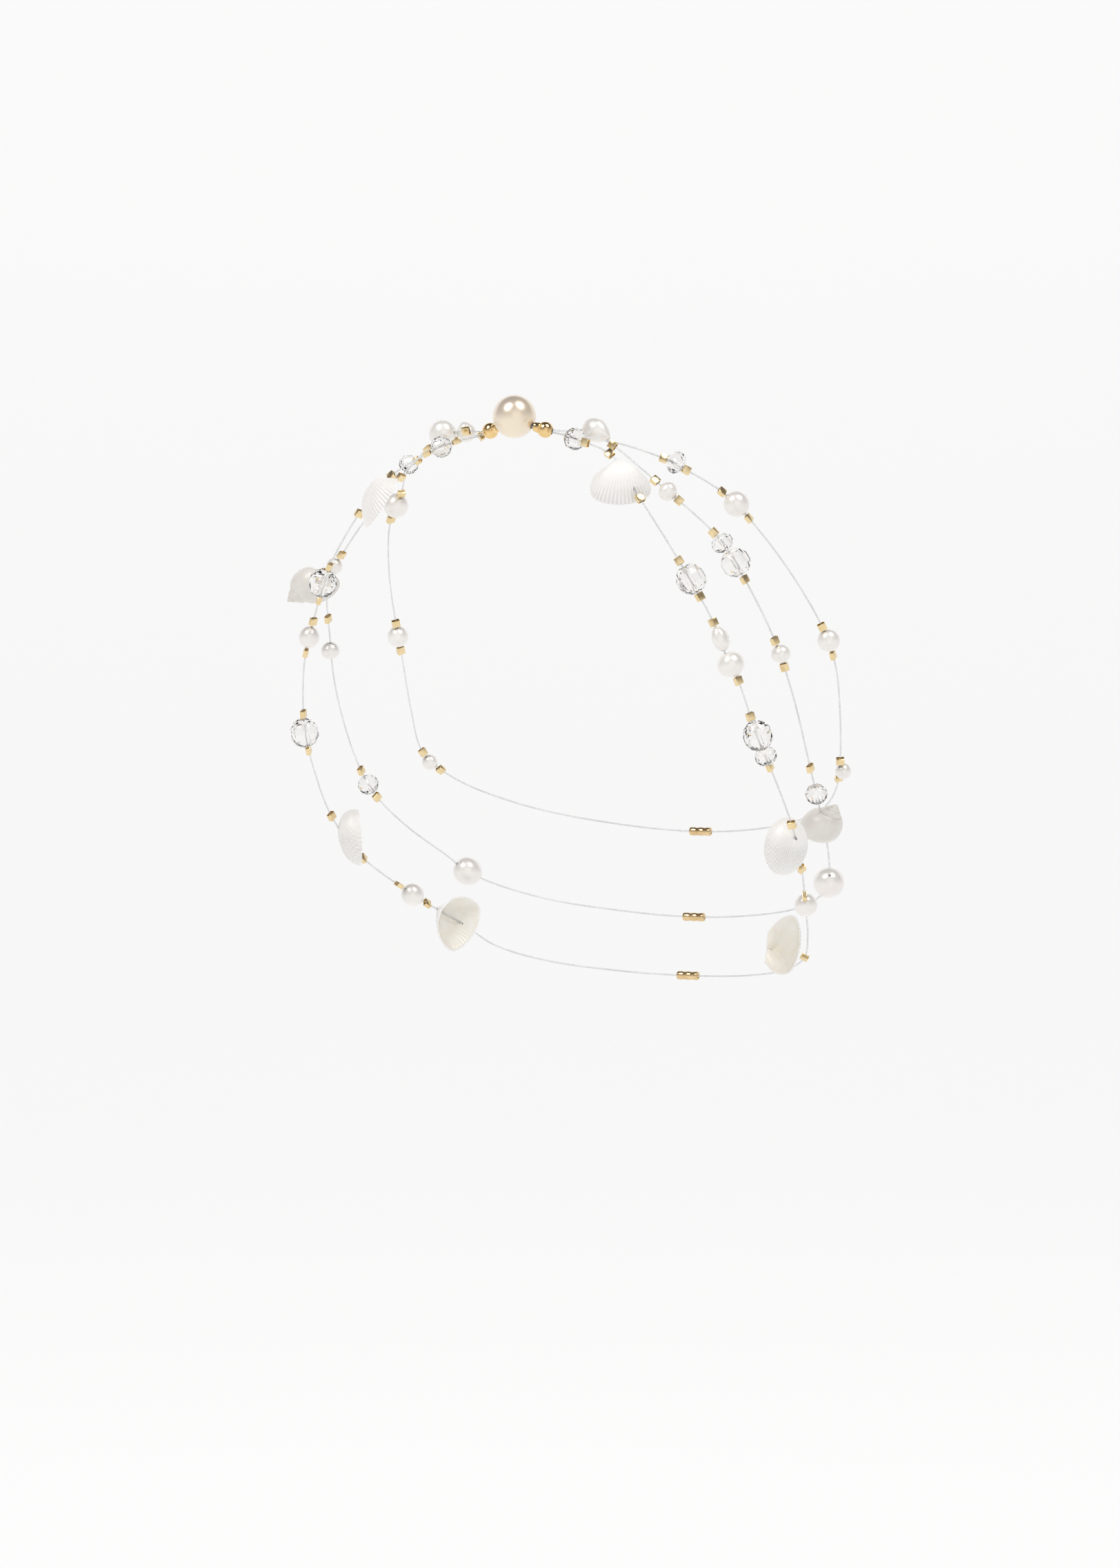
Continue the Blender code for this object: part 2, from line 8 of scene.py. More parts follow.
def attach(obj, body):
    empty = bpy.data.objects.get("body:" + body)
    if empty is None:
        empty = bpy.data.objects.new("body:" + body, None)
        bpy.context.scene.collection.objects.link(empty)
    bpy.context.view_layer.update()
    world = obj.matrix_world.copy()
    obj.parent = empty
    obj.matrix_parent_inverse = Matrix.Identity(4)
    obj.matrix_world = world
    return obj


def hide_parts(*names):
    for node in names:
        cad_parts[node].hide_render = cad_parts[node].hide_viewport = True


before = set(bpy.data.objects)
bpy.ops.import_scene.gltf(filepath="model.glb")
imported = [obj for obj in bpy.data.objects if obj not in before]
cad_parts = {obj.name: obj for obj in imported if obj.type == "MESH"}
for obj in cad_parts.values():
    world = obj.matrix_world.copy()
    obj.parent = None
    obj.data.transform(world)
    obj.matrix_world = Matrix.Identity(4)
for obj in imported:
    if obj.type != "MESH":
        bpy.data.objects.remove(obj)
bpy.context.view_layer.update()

MM = 0.001


# The set. A pale floor that sweeps up into a white backdrop, two softboxes over the front of the piece and
# a soft fill lamp, in a room that is light near the floor and darker above, which pearls and gold mirror.
AIM = Vector((-0.00143, 0.03036, -0.10110))
CAMERA_SIDE = math.radians(28.5)
CAMERA_RISE = math.radians(2.0)
CAMERA_FAR = 1.5
FLOOR_Z = -0.345

back_to_camera = Vector((
    math.sin(CAMERA_SIDE) * math.cos(CAMERA_RISE),
    -math.cos(CAMERA_SIDE) * math.cos(CAMERA_RISE),
    math.sin(CAMERA_RISE),
))
to_the_right = Vector((math.cos(CAMERA_SIDE), math.sin(CAMERA_SIDE), 0.0))
upward = back_to_camera.cross(to_the_right)
LAMP_AIM = AIM + Vector((0.0, 0.0, 0.06))
SOFTBOX_WIDE, SOFTBOX_HIGH, SOFTBOX_FAR, SOFTBOX_WATTS = 0.66, 0.86, 1.3, 7.3
WARM_LIGHT = (1.0, 0.985, 0.96)

lens = bpy.data.cameras.new("camera")
lens.sensor_fit = "HORIZONTAL"
lens.sensor_width = 36.0
lens.lens = 162.95
lens.clip_end = 60.0
camera = bpy.data.objects.new("camera", lens)
camera.location = AIM + back_to_camera * CAMERA_FAR
camera.rotation_euler = back_to_camera.to_track_quat("Z", "Y").to_euler()
bpy.context.collection.objects.link(camera)
bpy.context.scene.camera = camera
bpy.context.scene.view_settings.view_transform = "Standard"


def softbox(name, right, up, near, distance, wide, high, watts, colour):
    """A lamp that looks at the piece from (right, up, near), as the camera sees these ways."""
    direction = (to_the_right * right + upward * up + back_to_camera * near).normalized()
    lamp = bpy.data.lights.new(name, "AREA")
    lamp.shape = "ELLIPSE"
    lamp.size = wide
    lamp.size_y = high
    lamp.energy = watts
    lamp.color = colour
    box = bpy.data.objects.new(name, lamp)
    box.location = LAMP_AIM + direction * distance
    box.rotation_euler = direction.to_track_quat("Z", "Y").to_euler()
    bpy.context.collection.objects.link(box)


for name, right, up, near in (("softbox_left", -0.465, 0.74, 0.483), ("softbox_right", 0.407, 0.83, 0.378)):
    softbox(name, right, up, near, SOFTBOX_FAR, SOFTBOX_WIDE, SOFTBOX_HIGH, SOFTBOX_WATTS, WARM_LIGHT)
softbox("softbox_fill", 0.20, 0.28, 0.94, 3.0, 3.0, 2.2, 7.0, (1.0, 0.99, 0.98))


def new_stuff(name):
    """A material with its nodes, its links and its shader."""
    stuff = bpy.data.materials.new(name)
    stuff.use_nodes = True
    nodes = stuff.node_tree.nodes
    return stuff, nodes, stuff.node_tree.links, nodes["Principled BSDF"]


def grain_node(nodes, scale, detail=2.0):
    grain = nodes.new("ShaderNodeTexNoise")
    grain.inputs["Scale"].default_value = scale
    grain.inputs["Detail"].default_value = detail
    return grain


def tint_node(nodes, *tones):
    """A colour ramp with a first, a last and perhaps a middle (position, colour)."""
    ramp = nodes.new("ShaderNodeValToRGB")
    for element, (place, colour) in zip(ramp.color_ramp.elements, tones):
        element.position = place
        element.color = colour
    for place, colour in tones[2:]:
        ramp.color_ramp.elements.new(place).color = colour
    return ramp


def shown(name, bm, place, stuff):
    """Makes a piece from its shape, which is moved to its place."""
    bmesh.ops.transform(bm, matrix=place, verts=bm.verts)
    mesh = bpy.data.meshes.new(name)
    bm.to_mesh(mesh)
    bm.free()
    mesh.materials.append(stuff)
    piece = bpy.data.objects.new(name, mesh)
    bpy.context.collection.objects.link(piece)
    return piece


world = bpy.data.worlds.new("studio")
world.use_nodes = True
room = world.node_tree.nodes
direction = room.new("ShaderNodeTexCoord")
height = room.new("ShaderNodeSeparateXYZ")
walls = tint_node(
    room, (0.02, (0.70, 0.69, 0.68, 1.0)), (0.85, (0.10, 0.095, 0.10, 1.0)), (0.34, (0.30, 0.28, 0.285, 1.0)),
)
links = world.node_tree.links
links.new(direction.outputs["Generated"], height.inputs["Vector"])
links.new(height.outputs["Z"], walls.inputs["Fac"])
links.new(walls.outputs["Color"], room["Background"].inputs["Color"])
bpy.context.scene.world = world

PAPER_WHITE, PAPER_FIBRE = (0.20, 0.20, 0.20, 1.0), (0.197, 0.197, 0.197, 1.0)
FLOOR_LONG, FLOOR_NEAR, SWEEP_R = 4.4, 2.6, 0.9

white_paper, nodes, links, shader = new_stuff("white_paper")
fibre = grain_node(nodes, 60.0)
tint = tint_node(nodes, (0.0, PAPER_FIBRE), (1.0, PAPER_WHITE))
links.new(fibre.outputs["Fac"], tint.inputs["Fac"])
links.new(tint.outputs["Color"], shader.inputs["Base Color"])
shader.inputs["Roughness"].default_value = 0.9
shader.inputs["Specular IOR Level"].default_value = 0.0
shader.inputs["Emission Color"].default_value = (1.0, 1.0, 1.0, 1.0)
shader.inputs["Emission Strength"].default_value = 0.83

sweep = bmesh.new()
bmesh.ops.create_grid(sweep, x_segments=2, y_segments=40, size=1.0)
for vert in sweep.verts:
    along = (vert.co.y + 1.0) * 4.0
    across = vert.co.x * 5.0
    past = along - FLOOR_LONG
    if past < 0.0:
        back, rise = along - FLOOR_NEAR, 0.0
    else:
        turn = min(past / SWEEP_R, 0.5 * math.pi)
        back = FLOOR_LONG - FLOOR_NEAR + SWEEP_R * math.sin(turn)
        rise = SWEEP_R * (1.0 - math.cos(turn)) + max(0.0, past - 0.5 * math.pi * SWEEP_R)
    vert.co = to_the_right * across + Vector((-back_to_camera.x, -back_to_camera.y, 0.0)) * back
    vert.co.z = FLOOR_Z + rise
paper_sweep = shown("paper_sweep", sweep, Matrix(), white_paper)
paper_sweep.data.shade_smooth()


# Threads. Each loop is one clear nylon line, half a millimetre thick, that runs from the large pearl
# through a gold ball, down one side, round the back and up the other side, and is joined at the back.
THREAD_R = 0.25
THREAD_STEP = 1.6
LOOK_AROUND = 0.8
BUNDLE_R = 0.54
BORE_LOW = 4.3
BALL_AT = (9.1, 2.0, 2.5)
LOOPS_MIDDLE = Vector((0.0, 32.0, -79.0))

BUNDLE = {
    "a": (-0.87 * BUNDLE_R, -0.5 * BUNDLE_R),
    "b": (0.0, BUNDLE_R),
    "c": (0.87 * BUNDLE_R, -0.5 * BUNDLE_R),
}
BUNDLE_WAY = [(0.25, 0.0, BORE_LOW), (4.7, 0.55, 3.86), BALL_AT, (11.0, 2.6, 2.05), (12.8, 3.0, 1.65)]

# Waypoints of each half loop on its way down from the ball: (out, back, up)
FRONT = {
    "a_left": [(22.2, -4.0, -0.6), (35.2, -6.5, -5.4), (45.4, -8.5, -17.7), (57.9, -8.0, -35.9)],
    "a_right": [
        (17.7, -3.6, -0.8), (25.6, -6.0, -4.0), (36.9, -9.0, -11.1), (46.6, -9.0, -21.0), (57.5, -8.0, -36.6),
    ],
    "b_left": [
        (16.5, 2.4, 2.0), (22.6, 2.4, 2.3), (31.1, 2.0, -2.2), (45.2, 2.0, -12.8), (60.8, 8.5, -27.9),
        (67.4, 11.0, -38.2),
    ],
    "b_right": [
        (15.8, 1.2, 2.6), (24.8, 1.6, 1.0), (39.2, 2.0, -10.5), (53.0, 4.2, -23.4), (61.5, 7.9, -31.2),
        (68.6, 9.4, -40.5),
    ],
    "c_left": [(29.0, 8.5, -1.4), (41.3, 14.5, -5.9), (46.0, 18.6, -9.0), (54.0, 27.0, -15.6)],
    "c_right": [
        (14.6, 5.6, 0.9), (19.0, 6.4, 1.0), (30.0, 8.8, -1.8), (41.0, 14.2, -5.5), (46.2, 17.6, -8.4),
        (54.0, 27.0, -15.6),
    ],
}

# The rest of the way, the same on both sides, to the middle of the back: (out, back, up)
REAR = {
    "a": [
        (66.3, -3.2, -53.2), (69.3, -2.2, -61.5), (72.0, 0.6, -69.0), (75.2, 6.4, -85.0), (77.0, 15.6, -99.0),
        (77.3, 25.5, -112.0), (74.6, 37.0, -123.9), (66.8, 56.0, -136.8), (58.9, 74.0, -147.0),
        (53.4, 83.6, -153.6), (42.0, 95.0, -158.6), (22.0, 107.0, -162.0), (0.0, 111.0, -163.0),
    ],
    "b": [
        (74.2, 19.4, -57.6), (76.6, 27.0, -74.0), (76.6, 38.0, -94.0), (75.2, 47.0, -105.6),
        (71.4, 60.0, -116.0), (66.4, 73.0, -124.4), (60.4, 84.5, -132.4), (45.0, 100.0, -139.6),
        (23.0, 111.5, -143.6), (0.0, 115.0, -145.0),
    ],
    "c": [
        (60.4, 31.8, -23.4), (67.6, 43.4, -38.4), (72.2, 55.5, -54.4), (73.6, 62.0, -66.0),
        (73.2, 66.0, -80.0), (71.4, 70.0, -93.4), (66.0, 79.5, -101.6), (51.0, 98.0, -110.6),
        (26.0, 114.0, -116.6), (0.0, 119.5, -118.6),
    ],
}


def smooth_way(points, per_span=16):
    """A smooth curve through the points that starts and ends along X."""
    knots = [0.0]
    for a, b in zip(points, points[1:]):
        knots.append(knots[-1] + math.sqrt((b - a).length))
    slopes = []
    for i in range(len(points)):
        lo = max(i - 1, 0)
        hi = min(i + 1, len(points) - 1)
        before = (points[i] - points[lo]) / (knots[i] - knots[lo]) if lo < i else None
        after = (points[hi] - points[i]) / (knots[hi] - knots[i]) if hi > i else None
        if before is None:
            slopes.append(Vector((after.x, 0.0, 0.0)))
        elif after is None:
            slopes.append(Vector((before.x, 0.0, 0.0)))
        else:
            left = knots[i] - knots[lo]
            right = knots[hi] - knots[i]
            slopes.append((before * right + after * left) / (left + right))
    way = []
    for i in range(len(points) - 1):
        span = knots[i + 1] - knots[i]
        for k in range(per_span):
            t = k / per_span
            way.append(
                points[i] * (2 * t ** 3 - 3 * t ** 2 + 1)
                + slopes[i] * (span * (t ** 3 - 2 * t ** 2 + t))
                + points[i + 1] * (3 * t ** 2 - 2 * t ** 3)
                + slopes[i + 1] * (span * (t ** 3 - t ** 2))
            )
    way.append(points[-1].copy())
    return way


class ThreadRoute:
    """A half loop's centre line in millimetres, asked for by the distance along it."""

    def __init__(self, name):
        strand, side = name.split("_")
        sign = 1.0 if side == "left" else -1.0
        back, up = BUNDLE[strand]
        stops = [(x, y + back, z + up) for x, y, z in BUNDLE_WAY] + FRONT[name] + REAR[strand]
        self.way = smooth_way([Vector((sign * x, y, z)) for x, y, z in stops])
        self.run = [0.0]
        for a, b in zip(self.way, self.way[1:]):
            self.run.append(self.run[-1] + (b - a).length)
        self.length = self.run[-1]

    def at(self, distance):
        distance = min(max(distance, 0.0), self.length)
        for i in range(len(self.run) - 1):
            if distance <= self.run[i + 1]:
                share = (distance - self.run[i]) / (self.run[i + 1] - self.run[i])
                return self.way[i].lerp(self.way[i + 1], share)
        return self.way[-1].copy()

    def along(self, distance):
        return (self.at(distance + LOOK_AROUND) - self.at(distance - LOOK_AROUND)).normalized()

    def outward(self, distance):
        along = self.along(distance)
        out = self.at(distance) - LOOPS_MIDDLE
        return (out - along * out.dot(along)).normalized()

    def stretch(self, start, end, step):
        count = max(2, int(round((end - start) / step)))
        return [self.at(start + (end - start) * i / count) for i in range(count + 1)]


ROUTES = {name: ThreadRoute(name) for name in FRONT}


def line_curve(name, points, radius, rounds):
    data = bpy.data.curves.new(name, "CURVE")
    data.dimensions = "3D"
    data.bevel_depth = radius * MM
    data.bevel_resolution = rounds
    data.use_fill_caps = True
    spline = data.splines.new("POLY")
    spline.points.add(len(points) - 1)
    for point, place in zip(spline.points, points):
        point.co = (place.x * MM, place.y * MM, place.z * MM, 1.0)
    return bpy.data.objects.new(name, data)


clear_nylon, nodes, links, shader = new_stuff("clear_nylon")
where = nodes.new("ShaderNodeTexCoord")
milky = grain_node(nodes, 220.0, 3.0)
tint = tint_node(nodes, (0.35, (0.80, 0.815, 0.82, 1.0)), (0.70, (0.94, 0.945, 0.94, 1.0)))
links.new(where.outputs["Object"], milky.inputs["Vector"])
links.new(milky.outputs["Fac"], tint.inputs["Fac"])
links.new(tint.outputs["Color"], shader.inputs["Base Color"])
shader.inputs["Roughness"].default_value = 0.16
shader.inputs["IOR"].default_value = 1.53
shader.inputs["Transmission Weight"].default_value = 0.80

for loop in "abc":
    left = ROUTES[loop + "_left"]
    right = ROUTES[loop + "_right"]
    way = list(reversed(left.stretch(0.0, left.length, THREAD_STEP)))
    way += right.stretch(0.0, right.length, THREAD_STEP)
    thread = line_curve("thread_" + loop, way, THREAD_R, 2)
    thread.data.materials.append(clear_nylon)
    bpy.context.collection.objects.link(thread)
    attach(thread, "root")
    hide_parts("strand_" + loop + "_left", "strand_" + loop + "_right")


# Crimps. Little gilt tubes of square section, pressed flat on the thread with pliers on both sides of a
# pearl, crystal or shell to hold it in its place. The drawn edges are rounded and the ends stay open.
CRIMP_LONG, CRIMP_WIDE, CRIMP_THICK = 2.3, 2.4, 1.4
CRIMP_EDGE, CRIMP_WALL, CRIMP_LIP, CRIMP_HOLE = 0.14, 0.16, 0.05, 0.55

# (distance along the thread from the middle of the pearl, turn about the thread in degrees)
CRIMPS = {
    "a_left": [
        (29.2, 70), (38.5, 25), (55.6, 10), (77.2, 35), (89.0, 5), (97.2, 15), (115.4, 0), (126.4, 10),
        (143.2, -20), (164.4, 60), (183.4, 10), (199.6, -40), (242.4, 80),
    ],
    "a_right": [
        (21.2, 20), (30.6, 0), (43.2, -30), (58.6, 60), (77.6, 10), (89.0, -10), (96.4, 30), (106.4, 0),
        (126.4, 10), (139.0, 0), (164.4, 30), (183.4, 10), (199.6, -40), (212.0, 0),
    ],
    "b_left": [
        (32.9, 60), (50.2, 15), (59.2, 50), (72.7, 80), (88.9, 5), (109.0, 10), (117.4, 70), (150.9, 5),
    ],
    "b_right": [(17.8, 80), (32.2, 10), (44.8, 40), (78.6, 20), (102.0, 0), (155.0, 0), (166.0, 30)],
    "c_left": [
        (44.8, 40), (52.4, 60), (65.0, 20), (76.0, 10), (117.6, 75), (127.4, 15), (160.8, 80), (169.4, 60),
    ],
    "c_right": [
        (14.9, 80), (25.4, 30), (44.8, 60), (65.0, 20), (76.0, 10), (117.6, 20), (127.4, 15), (160.8, 20),
        (169.4, 60),
    ],
}


def gilt_metal(name, colour, deep, roughness):
    stuff, nodes, links, shader = new_stuff(name)
    where = nodes.new("ShaderNodeTexCoord")
    cloud = grain_node(nodes, 420.0, 4.0)
    tint = tint_node(nodes, (0.30, deep), (0.72, colour))
    polish = nodes.new("ShaderNodeMapRange")
    polish.inputs["To Min"].default_value = roughness * 0.7
    polish.inputs["To Max"].default_value = roughness * 1.5
    scratch = grain_node(nodes, 2600.0, 3.0)
    dents = nodes.new("ShaderNodeBump")
    dents.inputs["Strength"].default_value = 0.10
    dents.inputs["Distance"].default_value = 0.00006
    links.new(where.outputs["Object"], cloud.inputs["Vector"])
    links.new(where.outputs["Object"], scratch.inputs["Vector"])
    links.new(cloud.outputs["Fac"], tint.inputs["Fac"])
    links.new(tint.outputs["Color"], shader.inputs["Base Color"])
    links.new(cloud.outputs["Fac"], polish.inputs["Value"])
    links.new(polish.outputs["Result"], shader.inputs["Roughness"])
    links.new(scratch.outputs["Fac"], dents.inputs["Height"])
    links.new(dents.outputs["Normal"], shader.inputs["Normal"])
    shader.inputs["Metallic"].default_value = 1.0
    return stuff


def frame_at(place, along, out):
    """A placement for a shape in millimetres: its Z runs along the first way and its X out of it."""
    side = along.cross(out)
    turned = Matrix((
        (out.x, side.x, along.x, place.x * MM),
        (out.y, side.y, along.y, place.y * MM),
        (out.z, side.z, along.z, place.z * MM),
        (0.0, 0.0, 0.0, 1.0),
    ))
    return turned @ Matrix.Scale(MM, 4)


def shade(piece, degrees):
    piece.data.shade_smooth()
    piece.data.set_sharp_from_angle(angle=math.radians(degrees))


crimp = bmesh.new()
bmesh.ops.create_cube(crimp, size=1.0)
bmesh.ops.scale(crimp, vec=(CRIMP_THICK, CRIMP_WIDE, CRIMP_LONG), verts=crimp.verts)
bmesh.ops.bevel(
    crimp, geom=crimp.edges[:], offset=CRIMP_EDGE, offset_type="OFFSET", segments=2, profile=0.5,
    affect="EDGES", material=-1, clamp_overlap=True,
)
crimp.normal_update()
ends = [face for face in crimp.faces if abs(face.normal.z) > 0.99 and face.calc_area() > 0.8]
bmesh.ops.inset_individual(crimp, faces=ends, thickness=CRIMP_WALL, depth=0.0)
bmesh.ops.inset_individual(crimp, faces=ends, thickness=CRIMP_LIP, depth=-CRIMP_HOLE)
one_crimp = bpy.data.meshes.new("pressed_crimp")
crimp.to_mesh(one_crimp)
crimp.free()

crimp_gold = gilt_metal("crimp_gold", (0.91, 0.75, 0.46, 1.0), (0.80, 0.62, 0.34, 1.0), 0.20)
for name, row in CRIMPS.items():
    route = ROUTES[name]
    metal = bmesh.new()
    for distance, turn in row:
        before = len(metal.verts)
        metal.from_mesh(one_crimp)
        metal.verts.ensure_lookup_table()
        place = frame_at(route.at(distance), route.along(distance), route.outward(distance))
        bmesh.ops.transform(
            metal, matrix=place @ Matrix.Rotation(math.radians(turn), 4, "Z"), verts=metal.verts[before:],
        )
    crimps = shown("crimps_" + name, metal, Matrix(), crimp_gold)
    shade(crimps, 34)
    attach(crimps, "root")


# Joining tubes. Each loop's two thread ends meet at the back in a plain gilt tube. The ends are pushed in
# from both sides, and the tube is pressed on them, which leaves two shallow grooves round it.
TUBE_LONG, TUBE_R, GROOVE_R = 7.0, 1.32, 1.22


def lathe(profile, steps, hollow=False):
    """Turns a profile of (radius, height) round Z; a hollow shape's profile is a closed one."""
    bm = bmesh.new()
    line = [bm.verts.new((radius, 0.0, height)) for radius, height in profile]
    wall = [bm.edges.new(pair) for pair in zip(line, line[1:])]
    if hollow:
        wall.append(bm.edges.new((line[-1], line[0])))
    bmesh.ops.spin(
        bm, geom=line + wall, cent=(0, 0, 0), axis=(0, 0, 1), angle=2 * math.pi, steps=steps, use_merge=True,
    )
    bmesh.ops.remove_doubles(bm, verts=bm.verts, dist=1e-4)
    bmesh.ops.recalc_face_normals(bm, faces=bm.faces)
    return bm


tube_gold = gilt_metal("tube_gold", (0.86, 0.66, 0.38, 1.0), (0.70, 0.49, 0.25, 1.0), 0.20)
half = 0.5 * TUBE_LONG
upper = [
    (TUBE_R, 0.6), (GROOVE_R, 0.9), (GROOVE_R, 1.6), (TUBE_R, 1.9), (TUBE_R, half - 0.4),
    (1.30, half - 0.12), (0.95, half), (0.62, half - 0.05), (0.32, half - 0.5),
]
lower = [(radius, -height) for radius, height in reversed(upper)]
for loop in "abc":
    route = ROUTES[loop + "_left"]
    place = frame_at(route.at(route.length), Vector((-1.0, 0.0, 0.0)), Vector((0.0, 0.0, 1.0)))
    joining_tube = shown("joining_tube_" + loop, lathe(lower + upper, 32, hollow=True), place, tube_gold)
    shade(joining_tube, 50)
    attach(joining_tube, "root")


# Large pearl. One big round cultured pearl, cream with a rose lustre, drilled low down so that all
# three threads pass through it side by side. It is the top of the piece, at its front.
PEARL_R = 6.3
PEARL_UP = 6.4
BUNDLE_BORE_R = 1.05


def nacre(name, light, middle, shade, roughness, cloud_size, lustre):
    stuff, nodes, links, shader = new_stuff(name)
    where = nodes.new("ShaderNodeTexCoord")
    cloud = grain_node(nodes, cloud_size, 2.5)
    cloud.inputs["Roughness"].default_value = 0.45
    tint = tint_node(nodes, (0.30, shade), (0.72, light), (0.50, middle))
    polish = nodes.new("ShaderNodeMapRange")
    polish.inputs["To Min"].default_value = roughness * 0.8
    polish.inputs["To Max"].default_value = roughness * 1.25
    growth = grain_node(nodes, 1400.0)
    skin = nodes.new("ShaderNodeBump")
    skin.inputs["Strength"].default_value = 0.05
    skin.inputs["Distance"].default_value = 0.00005
    links.new(where.outputs["Object"], cloud.inputs["Vector"])
    links.new(where.outputs["Object"], growth.inputs["Vector"])
    links.new(cloud.outputs["Fac"], tint.inputs["Fac"])
    links.new(tint.outputs["Color"], shader.inputs["Base Color"])
    links.new(cloud.outputs["Fac"], polish.inputs["Value"])
    links.new(polish.outputs["Result"], shader.inputs["Roughness"])
    links.new(growth.outputs["Fac"], skin.inputs["Height"])
    links.new(skin.outputs["Normal"], shader.inputs["Normal"])
    shader.inputs["Metallic"].default_value = lustre
    shader.inputs["IOR"].default_value = 1.62
    shader.inputs["Specular IOR Level"].default_value = 0.6
    shader.inputs["Coat Weight"].default_value = 1.0
    shader.inputs["Coat Roughness"].default_value = 0.19
    shader.inputs["Coat IOR"].default_value = 1.6
    shader.inputs["Sheen Weight"].default_value = 0.12
    shader.inputs["Sheen Tint"].default_value = (1.0, 0.90, 0.88, 1.0)
    return stuff


def drill(piece, points, radius):
    """Bores the piece along the thread that it sits on."""
    bit = line_curve("drill_bit", points, radius, 2)
    bpy.context.collection.objects.link(bit)
    cut_mesh = bpy.data.meshes.new_from_object(bit.evaluated_get(bpy.context.evaluated_depsgraph_get()))
    bpy.data.objects.remove(bit)
    solid_bit = bmesh.new()
    solid_bit.from_mesh(cut_mesh)
    bmesh.ops.remove_doubles(solid_bit, verts=solid_bit.verts, dist=1e-7)
    bmesh.ops.recalc_face_normals(solid_bit, faces=solid_bit.faces)
    solid_bit.to_mesh(cut_mesh)
    solid_bit.free()
    tool = bpy.data.objects.new("drill_bit", cut_mesh)
    bpy.context.collection.objects.link(tool)
    bore = piece.modifiers.new("bore", "BOOLEAN")
    bore.operation = "DIFFERENCE"
    bore.solver = "EXACT"
    bore.object = tool
    bpy.context.view_layer.update()
    drilled = bpy.data.meshes.new_from_object(piece.evaluated_get(bpy.context.evaluated_depsgraph_get()))
    piece.modifiers.clear()
    piece.data = drilled
    bpy.data.objects.remove(tool)


bundle_way = smooth_way(
    [Vector((-x, y, z)) for x, y, z in reversed(BUNDLE_WAY[1:])] + [Vector((0.0, 0.0, BORE_LOW))]
    + [Vector(place) for place in BUNDLE_WAY[1:]], 6,
)
cream_nacre = nacre(
    "cream_nacre", (0.93, 0.82, 0.63, 1.0), (0.90, 0.78, 0.61, 1.0), (0.87, 0.75, 0.64, 1.0),
    0.30, 90.0, 0.55,
)
pearl = bmesh.new()
bmesh.ops.create_uvsphere(pearl, u_segments=72, v_segments=40, radius=PEARL_R)
large_pearl = shown(
    "large_pearl", pearl, Matrix.Translation((0.0, 0.0, PEARL_UP * MM)) @ Matrix.Scale(MM, 4), cream_nacre,
)
drill(large_pearl, bundle_way, BUNDLE_BORE_R)
shade(large_pearl, 40)
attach(large_pearl, "root")
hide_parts("centre_pearl")


# Gold balls. A small polished gold ball sits on the threads at each side of the large pearl, with a short
# tapered collar that meets the pearl and keeps the three threads together.
BALL_R = 2.35
NECK_R, NECK_LONG = 1.55, 1.15

ball_gold = gilt_metal("ball_gold", (0.92, 0.68, 0.34, 1.0), (0.84, 0.58, 0.26, 1.0), 0.07)
foot = -NECK_LONG - BALL_R
profile = [(0.0, foot), (NECK_R * 0.70, foot), (NECK_R * 0.84, foot + 0.10), (NECK_R, -0.82 * BALL_R)]
for i in range(8, 36):
    turn = math.pi * i / 36
    profile.append((BALL_R * math.sin(turn), -BALL_R * math.cos(turn)))
profile.append((0.0, BALL_R))

for side, sign in (("left", 1.0), ("right", -1.0)):
    at = Vector((sign * BALL_AT[0], BALL_AT[1], BALL_AT[2]))
    before = Vector((sign * BUNDLE_WAY[1][0], BUNDLE_WAY[1][1], BUNDLE_WAY[1][2]))
    along = (at - before).normalized()
    place = frame_at(at, along, along.cross(Vector((0, 1, 0))).normalized())
    gold_ball = shown("gold_ball_" + side, lathe(profile, 48), place, ball_gold)
    drill(gold_ball, bundle_way, BUNDLE_BORE_R)
    shade(gold_ball, 28)
    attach(gold_ball, "root")
    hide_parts("ball_" + side)


# White pearls. Cultured pearls from 5 to 10 mm, each drilled through and held by crimps. Most are near
# round, with slight swellings that differ from pearl to pearl, and a few are drop-shaped or ridged.
DRILL_R = 0.42
DRILL_OVER = 1.0
DRILL_STEP = 1.0

